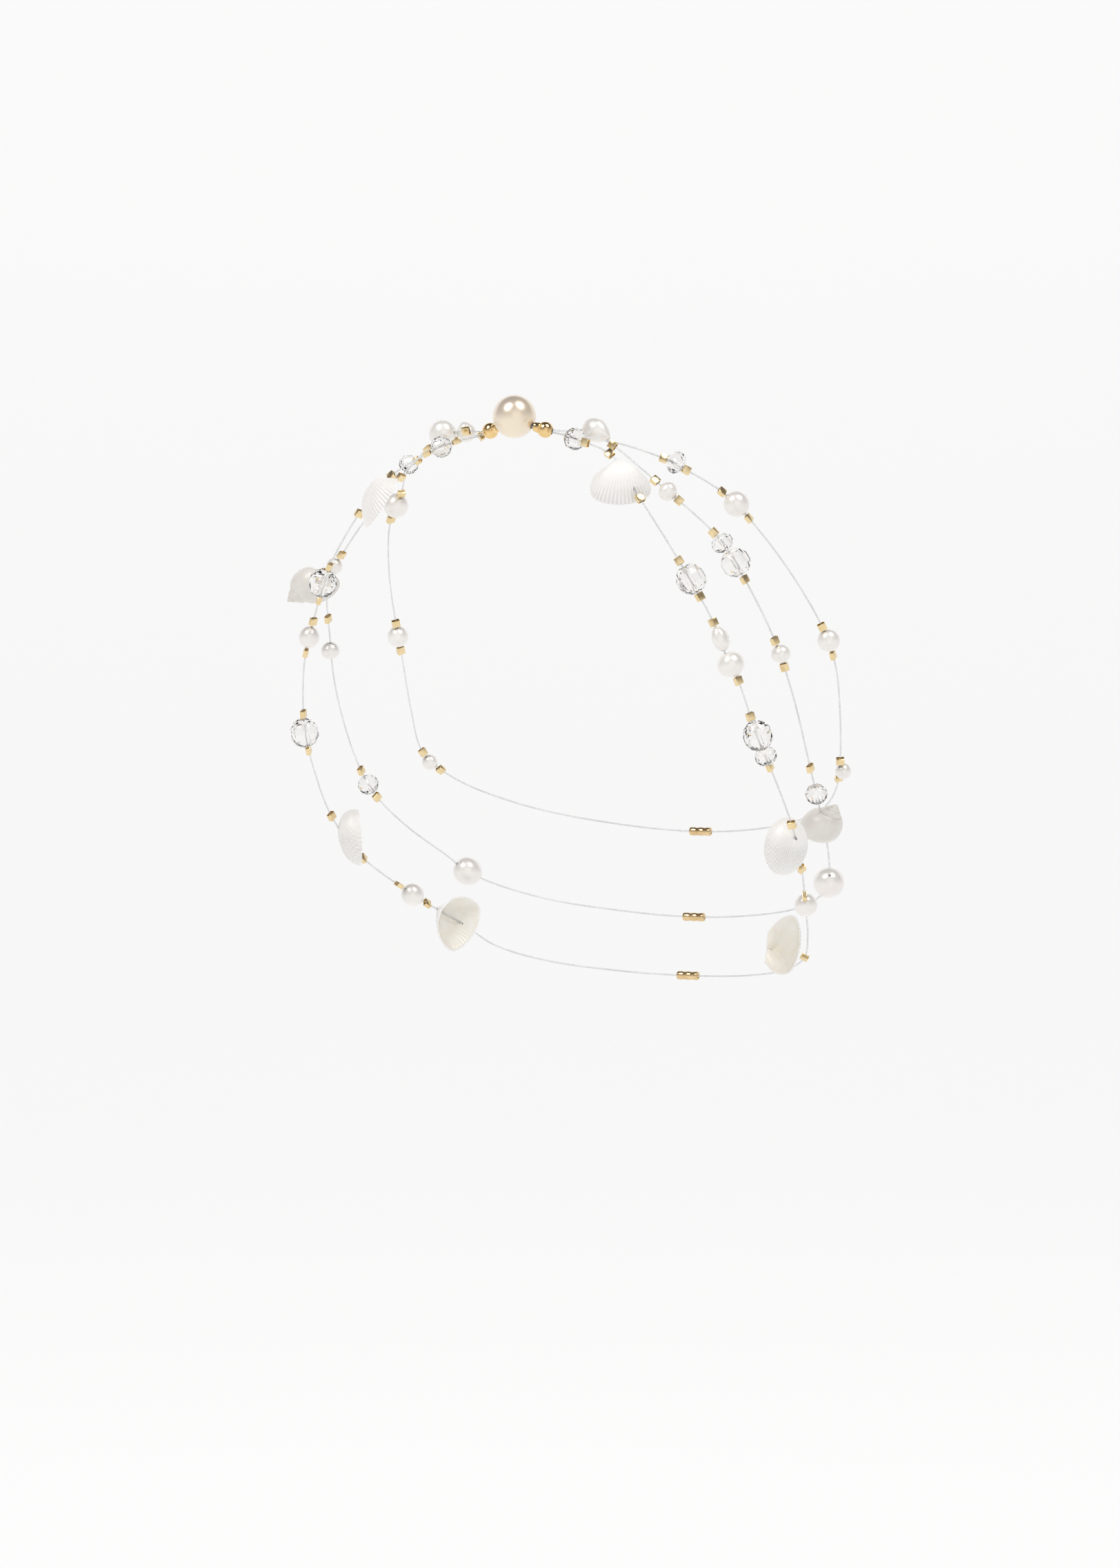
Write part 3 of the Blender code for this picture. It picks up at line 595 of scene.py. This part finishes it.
# (name, thread, distance along it, across, along, lift outwards, shape)
PEARLS = [
    ("pearl_a1_left", "a_left", 110.2, 8.0, 7.4, 0.0, "round"),
    ("pearl_a2_left", "a_left", 205.2, 6.9, 7.6, 0.2, "round"),
    ("pearl_b1_left", "b_left", 55.1, 5.8, 5.4, 0.0, "round"),
    ("pearl_b2_left", "b_left", 113.2, 5.7, 5.4, 0.3, "round"),
    ("pearl_b3_left", "b_left", 210.0, 9.4, 9.8, 0.0, "round"),
    ("pearl_c1_left", "c_left", 70.5, 7.7, 7.9, 0.2, "round"),
    ("pearl_c2_left", "c_left", 122.5, 6.7, 6.9, 0.2, "round"),
    ("pearl_c3_left", "c_left", 165.1, 4.9, 5.0, 1.0, "round"),
    ("pearl_a1_right", "a_right", 101.4, 6.2, 6.6, 0.0, "round"),
    ("pearl_a2_right", "a_right", 205.8, 7.0, 7.4, 0.2, "round"),
    ("pearl_b1_right", "b_right", 82.8, 4.9, 4.9, 0.0, "round"),
    ("pearl_b2_right", "b_right", 113.2, 5.7, 5.4, 0.2, "round"),
    ("pearl_b3_right", "b_right", 209.4, 8.8, 9.4, 0.0, "round"),
    ("pearl_c1_right", "c_right", 70.5, 7.6, 7.8, 0.2, "round"),
    ("pearl_c2_right", "c_right", 122.5, 6.6, 6.8, 0.2, "round"),
    ("pearl_c3_right", "c_right", 165.1, 4.9, 5.0, 0.6, "round"),
    ("pearl_oval_right", "b_right", 25.6, 8.0, 8.2, 1.0, "round"),
    ("pearl_drop_left", "b_left", 26.6, 7.0, 9.8, 1.0, "drop"),
    ("pearl_pointed_right", "c_right", 20.9, 5.8, 6.0, 1.4, "pointed"),
    ("pearl_ridged_left", "a_left", 102.3, 4.8, 7.4, 0.0, "ridged"),
]

white_nacre = nacre(
    "white_nacre", (0.93, 0.915, 0.875, 1.0), (0.90, 0.875, 0.84, 1.0), (0.90, 0.85, 0.82, 1.0),
    0.30, 110.0, 0.24,
)


def swell(vert, across, along, kind, seed):
    """Moves a point of a round pearl to the real one's slightly uneven or odd surface."""
    unit = vert.co.normalized()
    uneven = 0.010 * math.sin(3.1 * unit.x + seed) + 0.008 * math.sin(4.3 * unit.y + 2.0 * seed)
    oval = Vector((unit.x * 0.5 * across, unit.y * 0.5 * across, unit.z * 0.5 * along))
    vert.co = oval * (1.0 - 0.018 + uneven)
    if kind == "drop":
        high = max(0.0, unit.z)
        narrow = 1.0 - 0.42 * high ** 1.5 - 0.06 * high
        vert.co.x *= narrow
        vert.co.y *= narrow
    elif kind == "pointed":
        rise = max(0.0, unit.x)
        vert.co.x += 0.07 * across * rise ** 4
        vert.co.y *= 1.0 - 0.22 * rise ** 2
        vert.co.z *= 1.0 - 0.22 * rise ** 2
    elif kind == "ridged":
        towards = max(0.0, -unit.y)
        vert.co.y -= 0.14 * across * towards ** 2
        ripple = math.cos(4.6 * math.pi * unit.z)
        vert.co.y -= 0.06 * across * towards ** 2 * ripple
        vert.co.x *= 1.0 + 0.03 * ripple * towards


def drill_along(piece, route, distance, reach):
    drill(piece, route.stretch(distance - reach, distance + reach, DRILL_STEP), DRILL_R)


for seed, (name, thread_name, distance, across, along, lift, kind) in enumerate(PEARLS):
    route = ROUTES[thread_name]
    out = route.outward(distance)
    ball = bmesh.new()
    bmesh.ops.create_uvsphere(ball, u_segments=48, v_segments=28, radius=1.0)
    for vert in ball.verts:
        swell(vert, across, along, kind, 1.7 * seed)
    place = frame_at(route.at(distance) + out * lift, route.along(distance), out)
    bead = shown("drilled_" + name, ball, place, white_nacre)
    drill_along(bead, route, distance, 0.5 * along + DRILL_OVER)
    shade(bead, 40)
    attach(bead, "root")
    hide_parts(name)


# Crystals. Clear cut-glass beads, drilled through, with a flat table round each end of the hole, a row of
# slanted facets and long narrow facets round the middle. Two of unequal size often sit side by side.
CRYSTAL_SIDES = 12

# (name, thread, distance along it, across, along, lift outwards)
CRYSTALS = [
    ("crystal_a1_left", "a_left", 24.8, 6.4, 5.6, 0.0),
    ("crystal_a2_left", "a_left", 83.4, 8.4, 8.2, 0.5),
    ("crystal_a3_left", "a_left", 132.4, 8.4, 8.2, 0.3),
    ("crystal_a4_left", "a_left", 139.4, 6.4, 4.8, 0.2),
    ("crystal_b1_left", "b_left", 76.6, 6.4, 4.8, 0.0),
    ("crystal_b2_left", "b_left", 83.4, 8.4, 7.6, 0.2),
    ("crystal_b3_left", "b_left", 160.6, 6.4, 5.2, 0.0),
    ("crystal_c_left", "c_left", 48.6, 6.6, 4.6, 0.5),
    ("crystal_a1_right", "a_right", 25.9, 6.2, 5.6, 0.0),
    ("crystal_a2_right", "a_right", 83.3, 8.2, 8.2, 0.3),
    ("crystal_a3_right", "a_right", 132.7, 8.4, 8.2, 0.2),
    ("crystal_b_right", "b_right", 160.5, 6.4, 5.2, 0.0),
    ("crystal_c_right", "c_right", 49.2, 5.8, 4.6, 0.8),
]

# One row of corners each: (share of the half length, share of the radius, part of a side's turn)
CRYSTAL_ROWS = [
    (-1.00, 0.46, 0.0), (-0.74, 0.78, 0.5), (-0.30, 1.00, 0.0), (0.30, 1.00, 0.0), (0.74, 0.78, 0.5),
    (1.00, 0.46, 0.0),
]


clear_crystal, nodes, links, shader = new_stuff("clear_crystal")
where = nodes.new("ShaderNodeTexCoord")
cloud = grain_node(nodes, 150.0)
tint = tint_node(nodes, (0.0, (0.94, 0.93, 0.91, 1.0)), (1.0, (0.985, 0.97, 0.95, 1.0)))
links.new(where.outputs["Object"], cloud.inputs["Vector"])
links.new(cloud.outputs["Fac"], tint.inputs["Fac"])
links.new(tint.outputs["Color"], shader.inputs["Base Color"])
shader.inputs["Roughness"].default_value = 0.015
shader.inputs["IOR"].default_value = 1.56
shader.inputs["Transmission Weight"].default_value = 1.0

for name, thread_name, distance, across, along, lift in CRYSTALS:
    route = ROUTES[thread_name]
    out = route.outward(distance)
    stone = bmesh.new()
    for high, wide, turn in CRYSTAL_ROWS:
        spin = Matrix.Rotation(2.0 * math.pi * turn / CRYSTAL_SIDES, 4, "Z")
        bmesh.ops.create_circle(
            stone, cap_ends=False, segments=CRYSTAL_SIDES, radius=0.5 * across * wide,
            matrix=Matrix.Translation((0.0, 0.0, 0.5 * along * high)) @ spin,
        )
    bmesh.ops.convex_hull(stone, input=stone.verts)
    bmesh.ops.dissolve_limit(
        stone, angle_limit=math.radians(1.0), verts=stone.verts, edges=stone.edges,
    )
    bmesh.ops.recalc_face_normals(stone, faces=stone.faces)
    place = frame_at(route.at(distance) + out * lift, route.along(distance), out)
    cut_stone = shown("cut_" + name, stone, place, clear_crystal)
    drill_along(cut_stone, route, distance, 0.5 * along + DRILL_OVER)
    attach(cut_stone, "root")
    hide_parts(name)


# Fan shells. Single valves of a small white ribbed bivalve, drilled under the beak and near the margin,
# with ribs that spread from the beak and end as teeth on the margin. They are creamy inside.
FAN_RIBS = 31
FAN_STEPS_A_RIB = 6
FAN_STEPS_ALONG = 36
FAN_WALL = 0.8
FAN_BEAK = 0.20
# RIB_SHADE sets how dark the painted shade in the grooves between the ribs is
RIB_DEEP, RIB_DEEP_INSIDE, RIB_SHADE = 0.13, 0.07, 0.28
TOOTH, TEETH_FROM, TEETH_GROW = 0.014, 0.7, 0.3
GROWTH_LINE = 0.03

# (name, thread, distance to the beak, long, wide, deep, shift, way from beak to margin, way out of the
# back); the last three are (out, back, up) for the wearer's left, and right-hand ones are mirrored
FANS = [
    (
        "fan_front_left", "a_left", 41.0, 13.4, 17.6, 5.8,
        (-0.9, 2.4, -1.7), (0.36, -0.36, -0.86), (0.50, -0.70, 0.52),
    ),
    (
        "fan_front_right", "a_right", 45.4, 15.3, 17.6, 5.8,
        (-1.1, 0.7, -1.5), (-0.14, -0.77, -0.62), (0.67, -0.54, 0.51),
    ),
    (
        "fan_nape_left", "a_left", 246.5, 15.5, 18.6, 5.0,
        (-13.2, 1.3, 3.5), (0.94, -0.30, 0.15), (0.30, 0.91, -0.27),
    ),
    (
        "fan_nape_right", "a_right", 216.0, 15.0, 17.6, 4.8,
        (-2.8, -1.2, 0.4), (-0.30, 0.74, -0.60), (0.90, 0.42, 0.06),
    ),
]

# Half of the margin from its middle to the hinge: (share of the length, share of the half width)
FAN_MARGIN = [
    (1.00, 0.0), (0.975, 0.36), (0.90, 0.70), (0.78, 0.95), (0.56, 1.00), (0.30, 0.86), (0.06, 0.52),
]


def shell_white(name, light, warm, roughness, grain_size):
    """Chalky shell, with painted shade that darkens it where the mesh's crease values say that it is hollow.
    """
    stuff, nodes, links, shader = new_stuff(name)
    where = nodes.new("ShaderNodeTexCoord")
    chalk = grain_node(nodes, 260.0, 5.0)
    tint = tint_node(nodes, (0.28, warm), (0.62, light))
    grain = grain_node(nodes, grain_size, 4.0)
    relief = nodes.new("ShaderNodeBump")
    relief.inputs["Strength"].default_value = 0.16
    relief.inputs["Distance"].default_value = 0.00012
    # painted shade: the mesh's crease value mixes the chalk colour towards a dull grey-brown in grooves,
    # hollows and seams
    painted_crease_shade = nodes.new("ShaderNodeAttribute")
    painted_crease_shade.attribute_name = "painted_crease_shade"
    crease_shade_mix = nodes.new("ShaderNodeMix")
    crease_shade_mix.data_type = "RGBA"
    crease_shade_mix.inputs["B"].default_value = (0.50, 0.46, 0.41, 1.0)
    links.new(where.outputs["Object"], chalk.inputs["Vector"])
    links.new(where.outputs["Object"], grain.inputs["Vector"])
    links.new(chalk.outputs["Fac"], tint.inputs["Fac"])
    links.new(painted_crease_shade.outputs["Fac"], crease_shade_mix.inputs["Factor"])
    links.new(tint.outputs["Color"], crease_shade_mix.inputs["A"])
    links.new(crease_shade_mix.outputs["Result"], shader.inputs["Base Color"])
    links.new(grain.outputs["Fac"], relief.inputs["Height"])
    links.new(relief.outputs["Normal"], shader.inputs["Normal"])
    shader.inputs["Roughness"].default_value = roughness
    shader.inputs["Specular IOR Level"].default_value = 0.45
    return stuff


def margin_at(share):
    """A point of the fan's margin, from one end of the hinge at -1 to the other at 1."""
    last = len(FAN_MARGIN) - 1
    place = min(abs(share), 1.0) * last
    i = min(int(place), last - 1)
    t = place - i
    rows = [FAN_MARGIN[max(i - 1, 0)], FAN_MARGIN[i], FAN_MARGIN[i + 1], FAN_MARGIN[min(i + 2, last)]]
    if i == 0:
        rows[0] = (FAN_MARGIN[1][0], -FAN_MARGIN[1][1])
    point = []
    for k in range(2):
        p0, p1, p2, p3 = (row[k] for row in rows)
        point.append(0.5 * (
            2.0 * p1 + (p2 - p0) * t + (2.0 * p0 - 5.0 * p1 + 4.0 * p2 - p3) * t ** 2
            + (3.0 * p1 - p0 - 3.0 * p2 + p3) * t ** 3
        ))
    return point[0], math.copysign(point[1], share)


def hung(route, distance, sign, shift, axis, face):
    """A shell's place on its thread, its axis and its face, mirrored for the wearer's right."""
    place = route.at(distance) + Vector((sign * shift[0], shift[1], shift[2]))
    axis = Vector((sign * axis[0], axis[1], axis[2])).normalized()
    face = Vector((sign * face[0], face[1], face[2]))
    return place, axis, (face - axis * face.dot(axis)).normalized()


def close_rim(bm, count):
    """Joins the outer skin, which is the first half of the points, to the inner skin along the margin."""
    bm.verts.index_update()
    bm.verts.ensure_lookup_table()
    for edge in [edge for edge in bm.edges if edge.is_boundary and edge.verts[0].index < count]:
        a, b = edge.verts
        bm.faces.new((a, b, bm.verts[b.index + count], bm.verts[a.index + count]))


fan_white = shell_white("fan_white", (0.97, 0.965, 0.955, 1.0), (0.95, 0.935, 0.91, 1.0), 0.34, 900.0)
fan_cream = shell_white("fan_cream", (0.91, 0.89, 0.83, 1.0), (0.87, 0.82, 0.71, 1.0), 0.22, 300.0)
for name, thread_name, distance, long, wide, deep, shift, axis, face in FANS:
    route = ROUTES[thread_name]
    sign = 1.0 if thread_name.endswith("left") else -1.0
    fan = bmesh.new()
    painted_crease_shade = fan.verts.layers.float.new("painted_crease_shade")
    for ribbed in (True, False):
        before = len(fan.verts)
        bmesh.ops.create_grid(
            fan, x_segments=FAN_RIBS * FAN_STEPS_A_RIB, y_segments=FAN_STEPS_ALONG, size=1.0,
        )
        fan.verts.index_update()
        fan.verts.ensure_lookup_table()
        for vert in fan.verts[before:]:
            share, t = vert.co.x, 0.5 * (vert.co.y + 1.0)
            x, y = margin_at(share)
            low = 1.0 - 0.7 * (1.0 - x) ** 2
            hinge = abs(share) ** 6
            crown = deep * low * max(0.0, math.sin(math.pi * (0.2 + 0.8 * t))) ** 0.8
            height = crown * (1.0 - hinge) + FAN_BEAK * deep * (1.0 - t) * hinge
            x, y = 0.995 * long * x * t, 0.495 * wide * y * t
            rib = math.cos(math.pi * FAN_RIBS * share)
            strength = (0.15 + 0.85 * t ** 2) * min(1.0, 6.0 * t) * (1.0 - hinge)
            if ribbed:
                tooth = 1.0 + TOOTH * rib * strength * max(0.0, t - TEETH_FROM) / TEETH_GROW
                growth = GROWTH_LINE * math.sin(30.0 * t ** 1.5) * t * (1.0 - hinge)
                height += RIB_DEEP * (rib - 1.0) * strength + growth
                vert.co = Vector((x * tooth, y * tooth, max(height, 0.0)))
                # painted shade in the grooves between the ribs
                vert[painted_crease_shade] = RIB_SHADE * strength * (0.5 - 0.5 * rib)
            else:
                thin = 1.0 - 1.1 * FAN_WALL / wide * (2.0 - t ** 3)
                height *= 1.0 - FAN_WALL / deep
                height += RIB_DEEP_INSIDE * (rib - 1.0) * strength * t
                middle = 0.46 * long
                vert.co = Vector((middle + (x - middle) * thin, y * thin, max(height, 0.0)))
    for skin in fan.faces:
        skin.material_index = 1 if skin.verts[0].index >= before else 0
    close_rim(fan, len(fan.verts) // 2)
    bmesh.ops.remove_doubles(fan, verts=fan.verts, dist=0.004)
    bmesh.ops.recalc_face_normals(fan, faces=fan.faces)
    place, axis, face = hung(route, distance, sign, shift, axis, face)
    valve = shown("ribbed_" + name, fan, frame_at(place, face, axis), fan_white)
    valve.data.materials.append(fan_cream)
    drill_along(valve, route, distance, long + 2.0 * DRILL_OVER)
    shade(valve, 50)
    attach(valve, "root")
    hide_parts(name)


# Cockles. Full, rounded white valves, smooth near the beak and covered with rows of small nodules
# towards the margin. One hangs low on each side of the longest loop, drilled near both ends.
COCKLE_WALL = 0.9
COCKLE_BEAK = 0.70
# KNOB_SHADE sets how dark the painted shade in the hollows between the nodules is
KNOB_PITCH, KNOB_HIGH, KNOB_SHADE = 0.82, 0.045, 0.26
KNOBS_FROM, KNOBS_GROW = 0.54, 0.24
DOME_STEPS_ROUND, DOME_STEPS_UP = 176, 112

# (name, thread, distance along it, long, wide, deep, shift, way from beak to margin, way out of the back)
COCKLES = [
    (
        "cockle_left", "a_left", 173.4, 17.2, 13.6, 6.4,
        (-4.8, 1.1, 0.0), (-0.09, -0.03, -0.99), (0.80, -0.60, -0.05),
    ),
    (
        "cockle_right", "a_right", 173.4, 17.2, 13.6, 6.4,
        (-4.6, 0.9, 0.0), (-0.09, -0.03, -0.99), (0.80, -0.60, -0.05),
    ),
]

cockle_white = shell_white("cockle_white", (0.97, 0.965, 0.95, 1.0), (0.95, 0.935, 0.90, 1.0), 0.30, 1200.0)
for name, thread_name, distance, long, wide, deep, shift, axis, face in COCKLES:
    route = ROUTES[thread_name]
    sign = 1.0 if thread_name.endswith("left") else -1.0
    dome = bmesh.new()
    for knobbed in (True, False):
        half = bmesh.new()
        painted_crease_shade = half.verts.layers.float.new("painted_crease_shade")
        bmesh.ops.create_uvsphere(
            half, u_segments=DOME_STEPS_ROUND, v_segments=DOME_STEPS_UP, radius=1.0,
        )
        bmesh.ops.bisect_plane(
            half, geom=half.verts[:] + half.edges[:] + half.faces[:], dist=1e-5, plane_co=(0, 0, 0),
            plane_no=(0, 0, 1), clear_inner=True, clear_outer=False,
        )
        for vert in half.verts:
            unit = vert.co.normalized()
            level = max(0.0, unit.z)
            flat = math.hypot(unit.x, unit.y)
            narrow = 1.0 - 0.10 * max(0.0, -unit.x / flat) if flat > 1e-6 else 1.0
            spot = Vector((
                0.5 * long * unit.x - 0.08 * long * level, 0.5 * wide * narrow * unit.y, deep * level ** 0.85,
            ))
            if knobbed:
                from_beak = spot.x + COCKLE_BEAK * long
                away = math.hypot(spot.y, from_beak)
                spread = math.atan2(spot.y, from_beak) * long / KNOB_PITCH
                lines = 0.5 + 0.5 * math.cos(2.0 * math.pi * spread)
                rows = 0.5 + 0.5 * math.cos(2.0 * math.pi * (away / KNOB_PITCH + 0.5 * round(spread)))
                strength = min(1.0, max(0.0, (away - KNOBS_FROM * long) / (KNOBS_GROW * long)))
                gap = strength * (1.0 - (lines * rows) ** 0.5)
                vert.co = spot * (1.0 - KNOB_HIGH * gap)
                # painted shade in the hollows between the nodules
                vert[painted_crease_shade] = KNOB_SHADE * gap
            else:
                shrink = 1.0 - 2.0 * COCKLE_WALL / wide * (0.45 + 0.55 * level)
                vert.co = Vector((spot.x * shrink, spot.y * shrink, spot.z * (1.0 - COCKLE_WALL / deep)))
        skin = bpy.data.meshes.new("valve_skin")
        half.to_mesh(skin)
        half.free()
        dome.from_mesh(skin)
        bpy.data.meshes.remove(skin)
    close_rim(dome, len(dome.verts) // 2)
    bmesh.ops.recalc_face_normals(dome, faces=dome.faces)
    place, axis, face = hung(route, distance, sign, shift, axis, face)
    valve = shown("nodular_" + name, dome, frame_at(place, face, axis), cockle_white)
    drill_along(valve, route, distance, long + 2.0 * DRILL_OVER)
    shade(valve, 60)
    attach(valve, "root")
    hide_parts(name)


# Turban snails. Small smooth off-white snail shells that the thread passes through. The tube of the shell
# winds round its axis and shrinks steadily towards the tip, and every turn leaves a fine seam with painted
# shade in it.
RING_SIDES = 56
STEPS_ROUND = 56
SNAIL_TURNS = 4.6
LEAN = math.radians(14.0)
TUBE_SHARE = 0.56
MOUTH_HALF_TALL, MOUTH_DOWN, TIP_UP = 0.36, 0.04, 0.56
# SEAM_SHADE sets how dark the painted shade along the seams between turns is
SEAM_WIDE, SEAM_SHADE = 0.11, 0.8

# The inside of the mouth, ring by ring: (share of the mouth's size, how far in)
SNAIL_MOUTH = [(0.97, -0.10), (0.91, 0.05), (0.86, 0.6), (0.80, 1.6), (0.70, 2.8), (0.50, 4.0)]

# (name, thread, distance along it, long, wide, what a turn leaves of the size, shift, way of the tip,
# way of the mouth); the last three are (out, back, up) for the wearer's left
SNAILS = [
    (
        "snail_left", "b_left", 172.6, 15.2, 11.9, 0.60,
        (-0.5, 0.6, -1.6), (0.573, -0.112, 0.813), (-0.944, -0.043, 0.336),
    ),
    (
        "snail_right", "b_right", 90.0, 17.2, 12.2, 0.47,
        (3.8, -0.9, 0.2), (0.695, -0.397, -0.600), (-0.613, -0.086, -0.784),
    ),
]


def next_ring(bm, edges):
    """Extrudes a ring of edges; gives the points and the edges of the new ring."""
    made = bmesh.ops.extrude_edge_only(bm, edges=edges)["geom"]
    rim = [item for item in made if isinstance(item, bmesh.types.BMVert)]
    return rim, [item for item in made if isinstance(item, bmesh.types.BMEdge)]


snail_gloss = shell_white("snail_gloss", (0.80, 0.78, 0.74, 1.0), (0.75, 0.71, 0.66, 1.0), 0.24, 500.0)
for name, thread_name, distance, long, wide, whorl, shift, axis, face in SNAILS:
    route = ROUTES[thread_name]
    sign = 1.0 if thread_name.endswith("left") else -1.0
    big = wide / (1.0 + math.sqrt(whorl))
    tube_r = TUBE_SHARE * big
    tall = MOUTH_HALF_TALL * long
    tip = Vector((0.0, 0.0, TIP_UP * long))
    centre = Vector((big - tube_r, 0.0, -MOUTH_DOWN * long))
    ring_at = (
        Matrix.Translation(centre) @ Matrix.Rotation(-LEAN, 4, "Y") @ Matrix.Rotation(0.5 * math.pi, 4, "X")
        @ Matrix.Diagonal((tube_r, tall, 1.0, 1.0))
    )
    snail = bmesh.new()
    seam_shade = snail.verts.layers.float.new("painted_crease_shade")
    bmesh.ops.create_circle(snail, cap_ends=False, segments=RING_SIDES, radius=1.0, matrix=ring_at)
    # painted shade along the seam where one turn of the tube meets the next
    for vert in snail.verts:
        depth = (ring_at.inverted() @ (tip + (vert.co - tip) / whorl)).length - 1.0
        vert[seam_shade] = SEAM_SHADE * max(0.0, 1.0 - abs(depth) / SEAM_WIDE)
    mouth = edges = snail.edges[:]
    shrink = whorl ** (1.0 / STEPS_ROUND)
    step = (
        Matrix.Translation(tip) @ Matrix.Rotation(2.0 * math.pi / STEPS_ROUND, 4, "Z")
        @ Matrix.Scale(shrink, 4) @ Matrix.Translation(-tip)
    )
    for i in range(int(SNAIL_TURNS * STEPS_ROUND)):
        rim, edges = next_ring(snail, edges)
        bmesh.ops.transform(snail, matrix=step, verts=rim)
    bmesh.ops.holes_fill(snail, edges=edges, sides=0)
    edges = mouth
    for scale, push in SNAIL_MOUTH:
        rim, edges = next_ring(snail, edges)
        now = sum((vert.co for vert in rim), Vector()) / len(rim)
        factor = scale * tall / max((vert.co - now).length for vert in rim)
        bmesh.ops.translate(snail, vec=-now, verts=rim)
        bmesh.ops.scale(snail, vec=(factor, factor, factor), verts=rim)
        bmesh.ops.translate(snail, vec=centre + Vector((-0.06 * push * push, push, 0.0)), verts=rim)
    bmesh.ops.holes_fill(snail, edges=edges, sides=0)
    bmesh.ops.translate(snail, vec=(0.5 * wide - big, 0.0, 0.0), verts=snail.verts)
    bmesh.ops.recalc_face_normals(snail, faces=snail.faces)
    place, axis, face = hung(route, distance, sign, shift, axis, face)
    turban = shown("turban_" + name, snail, frame_at(place, axis, face), snail_gloss)
    shade(turban, 60)
    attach(turban, "root")
    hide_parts(name)
